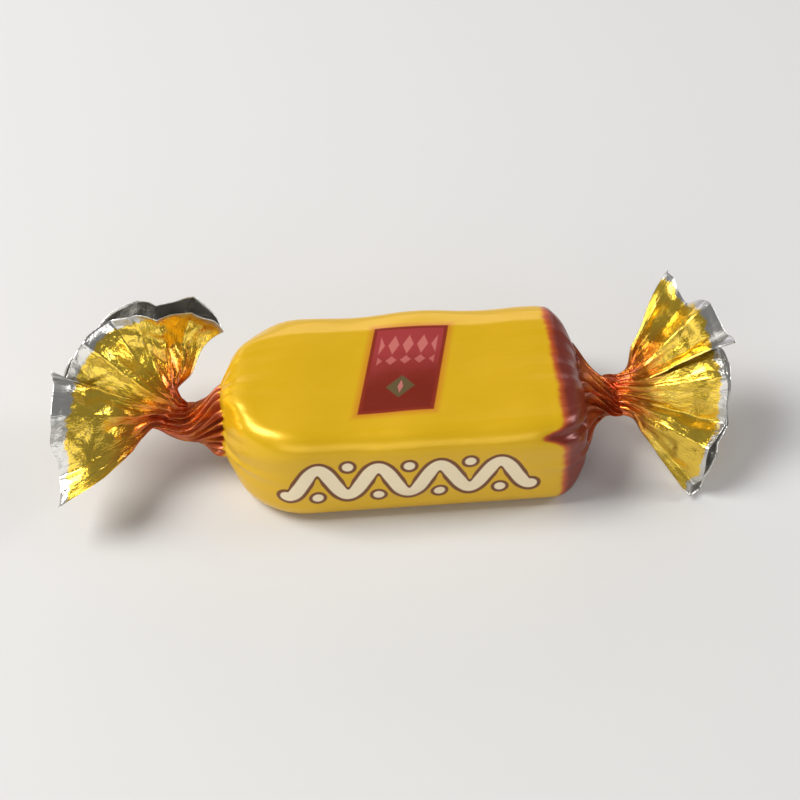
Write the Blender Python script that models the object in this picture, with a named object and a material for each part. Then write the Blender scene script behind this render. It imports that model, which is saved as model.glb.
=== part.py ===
"""A piece of butter toffee in a shut twist wrapper, lying on its flat underside.

The whole piece is one closed surface. Its rows run from the middle of the block over the end edges, down
the pleated shoulder, along the twisted neck and out over the fan of film, then round the fan's rim and
back down its mouth. Its columns are lines of film, so that a pleat keeps to one line from the block to
the fan.
"""

import math

import bpy
import numpy as np

MM = 0.001
TURN = 2 * math.pi

# Block of toffee, with the film round it. The origin is the middle of its flat underside.
BLOCK_LENGTH = 35.0 * MM
BLOCK_WIDTH = 18.4 * MM
BLOCK_HEIGHT = 10.8 * MM
LONG_EDGE_RADIUS = 2.2 * MM
END_EDGE_RADIUS = 2.8 * MM
END_SWEEP = math.radians(76)
CORNER_GROWTH = 0.45
CORNER_LIMIT = 0.94

# Dents in the film on the block. A wave is its turn for each metre along, its turn once round and its start.
DENT_DEPTH = 0.22 * MM
DENT_WAVES = ((330.0, 9.0, 0.0), (210.0, -5.0, 1.3))
DENT_UNDERSIDE = (-0.32, -0.1)
DENT_ENDS = (12.0 * MM, 16.0 * MM)

# Film gathered at each end.
FILM_THICKNESS = 0.4 * MM
SHOULDER_LENGTH = 2.6 * MM
SHOULDER_SWIRL = 0.1 * TURN
SHOULDER_EASE = 0.35
PLEAT_COUNT = 18
PLEAT_DEPTH = 1.0 * MM
PLEAT_DEEPEST = 0.62
PLEAT_WIDTH_SPREAD = 0.42
PLEAT_WIDTH_SEED = 3
TWIST_PLEATS = 3
NECK_RADIUS = 1.8 * MM
NECK_PLEAT_DEPTH = 0.25 * MM
NECK_SWIRL_SHARE = 0.8

# Fans of film, each a flattened and ruffled mouth of the tube.
FAN_LENGTH = 10.6 * MM
FAN_HALF_GAP = 0.95 * MM
FAN_START_OPENING = 0.86
FAN_BLEND = 0.34
FAN_PLEAT_FADE = 4.5 * MM
TUBE_FLARE = 0.35
TUBE_FADE = 2.2 * MM
LAYER_SOFTNESS = 0.12
CUP_START = 2.0 * MM
CUP_CENTRE = 0.35
CORNER_LENGTH = 1.9 * MM
CORNER_REACH = 0.075

# Ruffles across a fan.
RUFFLE_COUNT = 8
RUFFLE_HEIGHT = 1.25 * MM
RUFFLE_LEAST = 0.35
RUFFLE_JITTER = 0.34
RUFFLE_GROWTH = (0.5 * MM, 8.5 * MM)
RUFFLE_INNER_SHARE = 0.75

# Folds down the two sides of a fan, and its mouth.
FOLD_TIGHTNESS = 0.985
FOLD_INSET = 0.056
FOLD_REACH = 0.2
FOLD_RAMP = 0.05
LEAST_OPENING = 0.1

# Grid of the surface.
COLUMNS_PER_PLEAT = 4
COLUMNS = PLEAT_COUNT * COLUMNS_PER_PLEAT
BODY_ROWS = 4
EDGE_ROWS = 5
SHOULDER_ROWS = 6
NECK_ROWS = 4
FAN_ROWS = 11
FAN_ROW_POWER = 1.1
MOUTH_ROWS = 5
MOUTH_NARROWING = ((1.0, 0.65), (0.7, 0.4), (0.35, 0.3))

# What differs between the ends. A corner fold is its place along and across the fan, the direction that
# it turns over, the angle that it turns through and its radius.
LEFT_END = {
    "side": -1.0,
    "plan_radius": 8.0 * MM,
    "pitch": math.radians(36),
    "yaw": math.radians(26),
    "roll": math.radians(34),
    "half_angle": math.radians(70),
    "neck_length": 2.8 * MM,
    "seed": 11,
    "cup": 1.6 * MM,
    "corner": 0.5,
    "folds": (
        (6.0 * MM, 4.2 * MM, math.radians(62), math.radians(78), 3.6 * MM),
        (9.5 * MM, -5.0 * MM, math.radians(-60), math.radians(-34), 4.0 * MM),
    ),
}
RIGHT_END = {
    "side": 1.0,
    "plan_radius": 3.6 * MM,
    "pitch": math.radians(16),
    "yaw": math.radians(-9),
    "roll": math.radians(34),
    "half_angle": math.radians(55),
    "neck_length": 1.7 * MM,
    "seed": 5,
    "cup": -1.2 * MM,
    "corner": 0.0,
    "folds": (
        (8.0 * MM, 5.0 * MM, math.radians(48), math.radians(-48), 4.4 * MM),
        (10.0 * MM, -3.4 * MM, math.radians(-38), math.radians(56), 3.8 * MM),
    ),
}

FILM_COLOUR = (0.74, 0.47, 0.015, 1.0)
FILM_ROUGHNESS = 0.32
FILM_METALLIC = 0.15


def clear_scene():
    """Remove every object that the scene starts with."""
    for thing in list(bpy.data.objects):
        bpy.data.objects.remove(thing, do_unlink=True)


def smooth_step(low, high, value):
    """0 below low, 1 above high, with no corner at either."""
    share = np.clip((value - low) / (high - low), 0.0, 1.0)
    return share * share * (3 - 2 * share)


def film_lines():
    """The columns' evenly spaced line numbers, 0 to 1 round the piece, and their places round the block.

    Every pleat takes COLUMNS_PER_PLEAT columns, but the pleats differ in width on the block.
    """
    rng = np.random.default_rng(PLEAT_WIDTH_SEED)
    widths = 1 + PLEAT_WIDTH_SPREAD * rng.uniform(-1, 1, PLEAT_COUNT)
    edges = np.concatenate([[0.0], np.cumsum(widths) / widths.sum()])
    line = np.arange(COLUMNS) / COLUMNS
    place = np.interp(line, np.linspace(0, 1, PLEAT_COUNT + 1), edges)
    return line, place


def rounded_rectangle(place, half_width, half_height, radius):
    """Points of a rounded rectangle at fractions of its length, from the back's middle over the top."""
    quarter = np.floor((place % 1) * 4)
    along = (place % 1) * 4 - quarter
    along = np.where(quarter % 2 == 1, 1 - along, along)
    rise = half_height - radius
    run = half_width - radius
    arc = radius * TURN / 4
    distance = along * (rise + arc + run)
    angle = np.clip((distance - rise) / radius, 0, TURN / 4)
    across = run + radius * np.cos(angle) - np.clip(distance - rise - arc, 0, None)
    upward = np.minimum(distance, rise) + radius * np.sin(angle)
    back = np.where((quarter == 0) | (quarter == 3), 1.0, -1.0)
    top = np.where(quarter < 2, 1.0, -1.0)
    return across * back, upward * top


def round_over(distance, radius):
    """How far a quarter-round edge has drawn in at a distance from the end face."""
    inside = np.clip(radius - distance, 0, radius)
    return radius - np.sqrt(radius * radius - inside * inside)


def block_ring(along, end, place):
    """One ring of the film on the block, at a distance along from its middle."""
    to_end = BLOCK_LENGTH / 2 - along
    narrower = round_over(to_end, end["plan_radius"])
    lower = round_over(to_end, END_EDGE_RADIUS)
    half_width = BLOCK_WIDTH / 2 - narrower
    half_height = BLOCK_HEIGHT / 2 - lower
    grown = LONG_EDGE_RADIUS + CORNER_GROWTH * narrower
    radius = min(grown, CORNER_LIMIT * min(half_width, half_height))
    across, upward = rounded_rectangle(place, half_width, half_height, radius)
    height = BLOCK_HEIGHT / 2 + upward
    return np.stack([np.full_like(across, end["side"] * along), across, height], axis=-1)


def dent(points, place):
    """Push the film in and out a little everywhere but on the underside."""
    along = points[..., 0]
    depth = DENT_DEPTH
    for turn_along, turn_round, start in DENT_WAVES:
        depth = depth * np.sin(turn_along * along + turn_round * place + start)
    above = smooth_step(*DENT_UNDERSIDE, np.sin(TURN * place))
    return depth * above * (1 - smooth_step(*DENT_ENDS, np.abs(along)))


def pleat_wave(line):
    """A triangle wave from -1 in each valley to 1 on each ridge, a ridge and a valley to a pleat."""
    phase = (line * PLEAT_COUNT) % 1
    return 1 - 2 * np.abs(2 * phase - 1)


def frame_of(end):
    """Directions of the fan: outward from the neck, across the fan, and through it to its upper face."""
    side = end["side"]
    outward = np.array([
        side * math.cos(end["pitch"]) * math.cos(end["yaw"]),
        math.cos(end["pitch"]) * math.sin(end["yaw"]),
        math.sin(end["pitch"]),
    ])
    back = np.array([0.0, 1.0, 0.0]) - outward * outward[1]
    back = back / np.linalg.norm(back)
    upward = side * np.cross(outward, back)
    across = math.cos(end["roll"]) * back + math.sin(end["roll"]) * upward
    through = math.cos(end["roll"]) * upward - math.sin(end["roll"]) * back
    return outward, across, through


def fold_over(points, fold):
    """Turn what lies beyond a line over a cylinder, as paper is curled round a pencil.

    Beyond the line, a distance becomes an angle of distance / radius, up to the fold's full angle.
    """
    along, across, heading, angle, radius = fold
    direction = np.array([math.cos(heading), math.sin(heading)])
    beyond = (points[..., :2] - np.array([along, across])) @ direction
    sense = math.copysign(1.0, angle)
    arc = abs(angle) * radius
    turned = np.clip(beyond, 0, arc) / radius
    past = np.clip(beyond - arc, 0, None)
    arm = radius - sense * points[..., 2]
    reach = arm * np.sin(turned) + past * np.cos(turned)
    rise = radius - arm * np.cos(turned) + past * np.sin(turned)
    change = np.where(beyond > 0, reach - beyond, 0.0)
    flat = points[..., :2] + change[..., None] * direction
    height = np.where(beyond > 0, sense * rise, points[..., 2])
    return np.concatenate([flat, height[..., None]], axis=-1)


def ruffle_heights(end):
    """Lines and heights of the ridges and valleys across one layer of the fan, which alternate."""
    rng = np.random.default_rng(end["seed"])
    count = RUFFLE_COUNT + 1
    heights = rng.uniform(RUFFLE_LEAST, 1.0, count) * np.where(np.arange(count) % 2 == 0, 1, -1)
    lines = np.arange(count) / RUFFLE_COUNT
    lines[1:-1] += rng.uniform(-RUFFLE_JITTER, RUFFLE_JITTER, count - 2) / RUFFLE_COUNT
    steps = COLUMNS // 2
    return np.round(lines * steps) / steps, heights * RUFFLE_HEIGHT


def fan_sheet(out, line, end):
    """Points of the fan at distances out from the neck's end, in the fan's own directions.

    The fan's two layers share their ruffles. Each layer is half the gap from the sheet between them.
    """
    apex = NECK_RADIUS / math.sin(end["half_angle"])
    reach = apex + out
    angle = TURN * line
    share = np.arcsin(FOLD_TIGHTNESS * np.cos(angle)) / math.asin(FOLD_TIGHTNESS)
    opening = FAN_START_OPENING + (1 - FAN_START_OPENING) * smooth_step(0, FAN_LENGTH, out)
    bearing = share * end["half_angle"] * opening
    layer = np.sin(angle) * np.sqrt((1 + LAYER_SOFTNESS) / (np.sin(angle) ** 2 + LAYER_SOFTNESS))
    gap = FAN_HALF_GAP + (NECK_RADIUS - FAN_HALF_GAP) * np.exp(-out / TUBE_FADE)
    fold_lines, heights = ruffle_heights(end)
    ruffle = np.interp(np.minimum(line, 1 - line) * 2, fold_lines, heights)
    wider = RUFFLE_INNER_SHARE + (1 - RUFFLE_INNER_SHARE) * out / FAN_LENGTH
    grow = smooth_step(*RUFFLE_GROWTH, out) * wider
    cup = end["cup"] * (share * share - CUP_CENTRE) * smooth_step(CUP_START, FAN_LENGTH, out)
    height = gap * layer + ruffle * grow + cup
    sheet = np.stack([reach * np.cos(bearing) - apex, reach * np.sin(bearing), height], axis=-1)
    for fold in end["folds"]:
        sheet = fold_over(sheet, fold)
    return sheet


def corner_stretch(line, end):
    """How much longer the film is near its loose corner."""
    apart = np.abs((line - end["corner"] + 0.5) % 1 - 0.5)
    return CORNER_LENGTH * np.clip(1 - apart / CORNER_REACH, 0, 1)


def neck_ring(distance, line, swirl, end):
    """A ring of the neck at a distance along its bent axis, turned by the film's swirl."""
    side = end["side"]
    outward, across, through = frame_of(end)
    bend = smooth_step(0, 1, distance / end["neck_length"])
    start = np.array([side * (BLOCK_LENGTH / 2 + SHOULDER_LENGTH), 0.0, BLOCK_HEIGHT / 2])
    straight = np.array([side, 0.0, 0.0])
    centre = start + distance * ((1 - 0.5 * bend) * straight + 0.5 * bend * outward)
    fan_back = math.cos(end["roll"]) * across - math.sin(end["roll"]) * through
    fan_up = math.sin(end["roll"]) * across + math.cos(end["roll"]) * through
    back = (1 - bend) * np.array([0.0, 1.0, 0.0]) + bend * fan_back
    upward = (1 - bend) * np.array([0.0, 0.0, 1.0]) + bend * fan_up
    angle = (TURN * line + swirl)[:, None]
    return centre + NECK_RADIUS * (np.cos(angle) * back + np.sin(angle) * upward)


def block_rows(end, place):
    """Rings from the block's middle to the end of its rounded end edge, and the dents in them."""
    straight = BLOCK_LENGTH / 2 - end["plan_radius"]
    sweeps = np.linspace(0, END_SWEEP, EDGE_ROWS)
    places = [straight * step / BODY_ROWS for step in range(BODY_ROWS)]
    places += [straight + end["plan_radius"] * math.sin(sweep) for sweep in sweeps]
    rows = [block_ring(along, end, place) for along in places]
    return rows, [dent(ring, place) for ring in rows]


def shoulder_rows(last, line, end):
    """Rings that draw the block's last ring down to the neck, and the pleats in them."""
    rows = []
    pushes = []
    for step in range(1, SHOULDER_ROWS + 1):
        share = step / SHOULDER_ROWS
        ring = neck_ring(0.0, line, SHOULDER_SWIRL * share * share, end)
        drawn = last + (ring - last) * share
        lift = SHOULDER_EASE * share + (1 - SHOULDER_EASE) * share ** 3
        drawn[:, 0] = last[:, 0] + (ring[:, 0] - last[:, 0]) * lift
        swell = math.sin(TURN / 4 * min(share / PLEAT_DEEPEST, 1.0))
        depth = PLEAT_DEPTH * swell * (1 - share) + NECK_PLEAT_DEPTH * share
        rows.append(drawn)
        pushes.append(depth * pleat_wave(line))
    return rows, pushes


def fan_rows(line, end, swirl_before, swirl):
    """Rings from the neck's end to the fan's rim, which grow from a tube into the flattened fan."""
    outward, across, through = frame_of(end)
    start = neck_ring(end["neck_length"], line, swirl, end).mean(axis=0)
    fan_line = (line + TWIST_PLEATS / PLEAT_COUNT) % 1
    length = FAN_LENGTH + corner_stretch(fan_line, end)
    rows = []
    pushes = []
    for step in range(1, FAN_ROWS + 1):
        share = (step / FAN_ROWS) ** FAN_ROW_POWER
        blend = float(smooth_step(0.0, FAN_BLEND, share))
        sheet = fan_sheet(length * share, fan_line, end)
        angle = TURN * fan_line - (swirl - swirl_before) * (1 - blend)
        radius = NECK_RADIUS + TUBE_FLARE * FAN_LENGTH * share
        tube = np.stack([np.full_like(line, FAN_LENGTH * share), radius * np.cos(angle),
                         radius * np.sin(angle)], axis=-1)
        ring = blend * sheet + (1 - blend) * tube
        rows.append(start + ring @ np.array([outward, across, through]))
        depth = NECK_PLEAT_DEPTH * math.exp(-((FAN_LENGTH * share / FAN_PLEAT_FADE) ** 2))
        pushes.append(depth * pleat_wave(line))
    return rows, pushes


def normals_of(rows, side):
    """Outward directions of a surface whose rows run along the piece from its middle."""
    along = np.gradient(rows, axis=0)
    around = np.roll(rows, -1, axis=1) - np.roll(rows, 1, axis=1)
    normal = side * np.cross(around, along)
    return normal / np.linalg.norm(normal, axis=-1, keepdims=True)


def mouth_ring(ring, width=1.0, openness=1.0):
    """A ring inside the fan: the outer ring's two layers, each a film's thickness nearer their middle line.

    A width under 1 keeps only that share of the mouth's width, about its middle, and an openness under 1
    only that share of the gap.
    """
    steps = COLUMNS // 2
    fan_order = np.roll(ring, TWIST_PLEATS * COLUMNS_PER_PLEAT, axis=0)
    upper = fan_order[:steps + 1]
    lower = fan_order[-np.arange(steps + 1) % COLUMNS]
    share = np.linspace(0, 1, steps + 1)
    from_fold = np.minimum(share, 1 - share)
    inset = FOLD_INSET * (1 - smooth_step(0, FOLD_REACH, from_fold)) * np.sign(0.5 - share)
    place = (0.5 + (share + inset - 0.5) * width) * steps
    below = np.minimum(place.astype(int), steps - 1)
    part = (place - below)[:, None]
    middle = (upper + lower) / 2
    half = (upper - lower) / 2
    middle = middle[below] * (1 - part) + middle[below + 1] * part
    half = half[below] * (1 - part) + half[below + 1] * part
    gap = np.linalg.norm(half, axis=1)
    kept = np.clip(1 - FILM_THICKNESS / gap, LEAST_OPENING, 1) * openness
    kept = kept * smooth_step(-0.5 * FOLD_RAMP, FOLD_RAMP, from_fold)
    kept[[0, -1]] = 0.0
    inner_upper = middle + kept[:, None] * half
    inner_lower = middle - kept[:, None] * half
    joined = np.concatenate([inner_upper, inner_lower[-2:0:-1]])
    return np.roll(joined, -TWIST_PLEATS * COLUMNS_PER_PLEAT, axis=0)


def end_rows(end):
    """Rows of one end, from the middle of the block out to the rim and back down the mouth."""
    line, place = film_lines()
    swirl = end["roll"] + TURN * TWIST_PLEATS / PLEAT_COUNT
    neck_swirl = SHOULDER_SWIRL + (swirl - SHOULDER_SWIRL) * NECK_SWIRL_SHARE
    rows, pushes = block_rows(end, place)
    more, depths = shoulder_rows(rows[-1], line, end)
    rows += more
    pushes += depths
    for step in range(1, NECK_ROWS + 1):
        share = step / NECK_ROWS
        turned = SHOULDER_SWIRL + (neck_swirl - SHOULDER_SWIRL) * share
        rows.append(neck_ring(end["neck_length"] * share, line, turned, end))
        pushes.append(NECK_PLEAT_DEPTH * pleat_wave(line))
    more, depths = fan_rows(line, end, neck_swirl, swirl)
    rows = np.array(rows + more)
    pushes = np.array(pushes + depths)
    rows = rows + pushes[..., None] * normals_of(rows, end["side"])
    mouth = [mouth_ring(ring) for ring in rows[:-MOUTH_ROWS - 1:-1]]
    deeper = rows[-MOUTH_ROWS - 1::-1]
    mouth += [mouth_ring(ring, *narrowing) for ring, narrowing in zip(deeper, MOUTH_NARROWING)]
    tip = deeper[len(MOUTH_NARROWING)].mean(axis=0)
    return np.concatenate([rows, np.array(mouth)]), tip


def wrapped_toffee():
    """The closed surface: the left end's rows reversed, then the right end's, with a point at each end."""
    left, left_tip = end_rows(LEFT_END)
    right, right_tip = end_rows(RIGHT_END)
    rows = np.concatenate([left[:0:-1], right])
    count, columns = rows.shape[:2]
    points = np.concatenate([rows.reshape(-1, 3), [left_tip, right_tip]])
    number = np.arange(count * columns).reshape(count, columns)
    beside = np.roll(number, -1, axis=1)
    quads = np.stack([number[:-1], beside[:-1], beside[1:], number[1:]], axis=-1).reshape(-1, 4)
    left_cap = np.stack([beside[0], number[0], np.full(columns, count * columns)], axis=-1)
    right_cap = np.stack([number[-1], beside[-1], np.full(columns, count * columns + 1)], axis=-1)
    return points, quads.tolist() + left_cap.tolist() + right_cap.tolist()


def film_material():
    """Opaque yellow film with a soft gloss."""
    material = bpy.data.materials.new("yellow_film")
    material.use_nodes = True
    shader = material.node_tree.nodes["Principled BSDF"]
    shader.inputs["Base Color"].default_value = FILM_COLOUR
    shader.inputs["Roughness"].default_value = FILM_ROUGHNESS
    shader.inputs["Metallic"].default_value = FILM_METALLIC
    return material


def main():
    clear_scene()
    points, faces = wrapped_toffee()
    mesh = bpy.data.meshes.new("wrapped_toffee")
    mesh.from_pydata(points.tolist(), [], faces)
    mesh.shade_smooth()
    mesh.set_sharp_from_angle(angle=math.radians(35))
    mesh.materials.append(film_material())
    toffee = bpy.data.objects.new("wrapped_toffee", mesh)
    bpy.context.scene.collection.objects.link(toffee)


main()
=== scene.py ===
"""A butter toffee in its twist wrapper: the printed metallised film, its loose corners and its finish.

The film is one closed surface. Its columns are lines of film that run from end to end, and its rows are
rings round the piece, from the mouth of the left fan over the block to the mouth of the right fan. The
print is laid out on the flat film, in millimetres round the block and along it.
"""
import math

import bpy
import numpy as np
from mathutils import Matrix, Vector


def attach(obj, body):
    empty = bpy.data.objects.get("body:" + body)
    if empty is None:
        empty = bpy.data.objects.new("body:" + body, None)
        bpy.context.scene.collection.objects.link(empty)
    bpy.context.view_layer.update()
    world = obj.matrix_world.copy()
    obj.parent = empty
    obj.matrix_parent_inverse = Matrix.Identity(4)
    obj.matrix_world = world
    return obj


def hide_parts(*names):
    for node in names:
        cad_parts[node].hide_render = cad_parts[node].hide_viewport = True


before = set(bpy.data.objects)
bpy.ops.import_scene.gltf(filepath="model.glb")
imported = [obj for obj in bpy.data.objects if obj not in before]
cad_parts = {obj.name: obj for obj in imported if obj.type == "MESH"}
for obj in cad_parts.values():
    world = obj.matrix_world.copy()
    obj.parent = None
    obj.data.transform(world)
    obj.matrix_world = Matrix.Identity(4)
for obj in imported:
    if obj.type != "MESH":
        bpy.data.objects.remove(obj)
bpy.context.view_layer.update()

MM = 0.001
TURN = 2 * math.pi

# Block of toffee with the film round it, standing on the middle of its underside.
BLOCK_LENGTH = 35.0 * MM
BLOCK_WIDTH = 18.4 * MM
BLOCK_HEIGHT = 10.8 * MM
LONG_EDGE_RADIUS = 2.2 * MM
END_EDGE_RADIUS = 2.8 * MM
END_SWEEP = math.radians(76)
CORNER_GROWTH = 0.45
CORNER_LIMIT = 0.94
FILM_ROUND = 2 * (BLOCK_WIDTH + BLOCK_HEIGHT) - (8 - TURN) * LONG_EDGE_RADIUS

# Slack in the film on the block: broad waves, folds that the twists pull, and flat facets. A wave is its
# turning per metre along, its turning per round of film and its start.
DENT_DEPTH = 0.22 * MM
DENT_WAVES = ((330.0, 9.0, 0.0), (210.0, -5.0, 1.3))
DENT_UNDERSIDE = (-0.32, -0.1)
DENT_ENDS = (12.0 * MM, 16.0 * MM)
PULL_COUNT = 46
PULL_HEIGHT = 0.27 * MM
PULL_REACH = 3.0 * MM
PULL_REACH_SPREAD = 1.6 * MM
PULL_UNDERNEATH = 0.25
PULL_SEED = 31
PULL_REACH_COUNT = 30
PULL_REACH_SEED = 32
FACET_SIZE = 8.0 * MM
FACET_HEIGHT = 0.11 * MM
FACET_SEED = 8
FOLD_JITTER = 0.38
FACET_SIZES = (0.7, 1.6)
FACET_DRIFT = 0.3

# Creases in the film on the block. A place is a share of the way round, from the back's middle over the
# top.
SEAM_PLACE = 0.945
SEAM_REACH = 0.07
SEAM_STEP = 0.14 * MM
PINCH_PLACE = 0.42
PINCH_WIDTH = 0.55 * MM
PINCH_DEPTH = 0.45 * MM
PINCH_ENDS = (12.0 * MM, 15.5 * MM)
RIDGE_ALONG = 14.9 * MM
RIDGE_WANDER = 0.5 * MM
RIDGE_WIDTH = 0.35 * MM
RIDGE_HEIGHT = 0.1 * MM
BACK_CREASE_PLACE = 0.1457
BACK_FACET_RUN = 1.3 * MM
BACK_FACET_DEPTH = 0.28 * MM
BACK_FACET_RETURN = 3.2 * MM
BACK_FACET_ENDS = (13.0 * MM, 16.5 * MM)

# Film gathered at each end.
SHOULDER_LENGTH = 2.6 * MM
SHOULDER_SWIRL = 0.1 * TURN
SHOULDER_EASE = 0.35
PLEAT_COUNT = 18
PLEAT_DEPTH = 1.0 * MM
PLEAT_DEEPEST = 0.62
PLEAT_WIDTH_SPREAD = 0.42
PLEAT_WIDTH_SEED = 3
PLEAT_LEAN = 0.16
PLEAT_HEIGHTS = (0.7, 1.15)
PLEAT_SEED = 17
TWIST_PLEATS = 3
NECK_RADIUS = 1.8 * MM
NECK_PLEAT_DEPTH = 0.25 * MM
NECK_SWIRL_SHARE = 0.8
WRINKLE_COUNT = 60
WRINKLE_SEED = 7
WRINKLE_FIRST = 0.14 * MM
WRINKLE_HEIGHT = 0.2 * MM

# Fans of film.
FAN_LENGTH = 10.6 * MM
FAN_HALF_GAP = 0.95 * MM
FAN_START_OPENING = 0.86
FAN_BLEND = 0.34
FAN_PLEAT_FADE = 4.5 * MM
FAN_ROW_POWER = 1.1
TUBE_FLARE = 0.35
TUBE_FADE = 2.2 * MM
LAYER_SOFTNESS = 0.12
FOLD_TIGHTNESS = 0.985
CUP_START = 2.0 * MM
CUP_CENTRE = 0.35
CORNER_LENGTH = 1.9 * MM
CORNER_REACH = 0.075
RIM_NOTCHES = 30
RIM_UNEVENNESS = 0.4 * MM
RIM_SEED = 90

# Ruffles, creases and crumple of a fan. A crumple is its size, its height and its seed past the end's.
RUFFLE_COUNT = 8
RUFFLE_HEIGHT = 1.5 * MM
RUFFLE_LEAST = 0.35
RUFFLE_JITTER = 0.34
RUFFLE_PLACES = 36
RUFFLE_GROWTH = (0.5 * MM, 8.5 * MM)
RUFFLE_INNER_SHARE = 0.75
CREASE_COUNT = 34
CREASE_HEIGHT = 0.3 * MM
CREASE_GROWTH = (0.5 * MM, 4.0 * MM)
CREASE_LOSS = 0.35
CREASE_SEED = 40
FAN_CRUMPLES = ((3.6 * MM, 0.3 * MM, 60), (1.7 * MM, 0.12 * MM, 61))
CRUMPLE_GROWTH = (1.0 * MM, 6.0 * MM)
CRUMPLE_WAVES = 5

# Mouth of a fan. Each narrowing is the share of the mouth's width and of its gap that a ring keeps.
FILM_THICKNESS = 0.06 * MM
MOUTH_INSET = 0.0112
MOUTH_INSET_REACH = 0.2
MOUTH_RAMP = (-0.005, 0.015)
LEAST_OPENING = 0.1
MOUTH_NARROWING = ((1.0, 0.65), (0.85, 0.5), (0.7, 0.4), (0.5, 0.35), (0.3, 0.3))

# Grid of the surface.
COLUMNS_PER_PLEAT = 16
COLUMNS = PLEAT_COUNT * COLUMNS_PER_PLEAT
BODY_ROWS = 22
EDGE_ROWS = 12
SHOULDER_ROWS = 24
NECK_ROWS = 12
FAN_ROWS = 56
MOUTH_ROWS = 16
MOUTH_SPARSE_ROWS = 11

# What differs between the ends. A corner fold is its place along and across the fan, the direction that
# it turns over, the angle that it turns through and its radius.
LEFT_END = {
    "side": -1.0,
    "plan_radius": 8.0 * MM,
    "pitch": math.radians(36),
    "yaw": math.radians(26),
    "roll": math.radians(34),
    "half_angle": math.radians(70),
    "neck_length": 2.8 * MM,
    "seed": 11,
    "cup": 1.6 * MM,
    "corner": 0.5,
    "folds": (
        (6.0 * MM, 4.2 * MM, math.radians(62), math.radians(78), 3.6 * MM),
        (9.5 * MM, -5.0 * MM, math.radians(-60), math.radians(-34), 4.0 * MM),
    ),
}
RIGHT_END = {
    "side": 1.0,
    "plan_radius": 3.6 * MM,
    "pitch": math.radians(16),
    "yaw": math.radians(-9),
    "roll": math.radians(34),
    "half_angle": math.radians(55),
    "neck_length": 1.7 * MM,
    "seed": 5,
    "cup": -1.2 * MM,
    "corner": 0.0,
    "folds": (
        (8.0 * MM, 5.0 * MM, math.radians(48), math.radians(-48), 4.4 * MM),
        (10.0 * MM, -3.4 * MM, math.radians(-38), math.radians(56), 3.8 * MM),
    ),
}

# Loose layers on the fans. Each spans the shares of the way round the fan from its fold to its free edge,
# which lifts off the fan and is a little longer.
LOOSE_CORNERS = {
    "left_loose_corner": {
        "end": LEFT_END, "fold": 0.47, "free": 0.3, "lift": 1.3 * MM, "extra": 1.6 * MM,
    },
    "right_loose_corner": {
        "end": RIGHT_END, "fold": 0.03, "free": 0.21, "lift": 1.4 * MM, "extra": 1.8 * MM,
    },
}
LAYER_THICKNESS = 0.05 * MM
LAYER_CLEARANCE = 0.02 * MM
LAYER_START_ROW = 8
LAYER_EXTRA_ROWS = 10
LAYER_HEADING_ROWS = 5
LAYER_SOFTENING = 10
LAYER_CRUMPLE_SIZE = 2.6 * MM
LAYER_CRUMPLE_HEIGHT = 0.25 * MM
LAYER_CRUMPLE_SEED = 75
LAYER_FULL_LIFT = 0.9

# Map of the film: 1 is once round, or 100 mm along, and the block's middle is half way up. Both ends of
# the map, past the rims, are bare silver.
MAP_NAME = "film"
MAP_LENGTH = 100 * MM
SILVER_PLACE = 60 * MM

# Print, in millimetres along the film from the block's middle and round it from the middle of the top.
# The silver edge is how far before the rim the silver begins, and how far before it the print ends.
PRINT_SHIFT = 2.5
BAND_START = 17.3
BAND_END = 26.3
NOTCH_ROUND = 9.3
NOTCH_WIDTH = 0.7
NOTCH_LENGTH = 2.2
SILVER_EDGE = (0.95, 0.65)
INK_EDGE = 0.14
LABEL_ALONG = 0.25
LABEL_ROUND = -0.3
LABEL_SHEAR = 0.23
LABEL_HALF_LENGTH = 3.6
LABEL_HALF_WIDTH = 5.5
LABEL_HALO = 0.9
LABEL_BORDER = 0.4
LOZENGE_SPACING = 1.4
LOZENGE_HALF_LENGTH = 0.58
LOZENGE_ROWS = ((-3.1, 1.3, 0.8), (-1.1, 0.6, 0.6))
LOZENGE_ROW_END = 2.7
GREEN_LOZENGE_ROUND = 2.3
GREEN_LOZENGE_HALF = 1.5
WAVE_LENGTH = 5.8
WAVE_HEIGHT = 1.75
WAVE_ROUND = FILM_ROUND / MM / 4 - 0.2
WAVE_COUNT = 4
WAVE_HALF_WIDTH = 0.6
WAVE_OUTLINE = 0.98
WAVE_NEAR = 1.5
BEAD_ASIDE = 1.95
BEAD_RADIUS = 0.46
BEAD_OUTLINE = 0.8
BEAD_ROW_END = 1.7
LEAF_SPACING = 1.9
LEAF_COUNT = 10
LEAF_RADIUS = 2.3
LEAF_HALF_WIDTH = 0.36
LEAF_SLANT = 0.5
DOT_ASIDE = 1.05
DOT_RADIUS = 0.2

# Finish of the film: its values on the block, what foil and bare silver add to them, and its relief in
# millimetres.
BLOCK_METALLIC = 0.25
FOIL_METALLIC = 0.63
SILVER_METALLIC = 0.08
BLOCK_ROUGHNESS = 0.33
FOIL_ROUGHNESS = -0.1
SILVER_ROUGHNESS = 0.06
SMUDGE_ROUGHNESS = 0.2
BLOCK_COAT = 0.15
FOIL_COAT = 0.45
COAT_ROUGHNESS = 0.14
BLOCK_CRINKLE = 0.012
FOIL_CRINKLE = 0.1
GRAIN = 0.03

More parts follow.
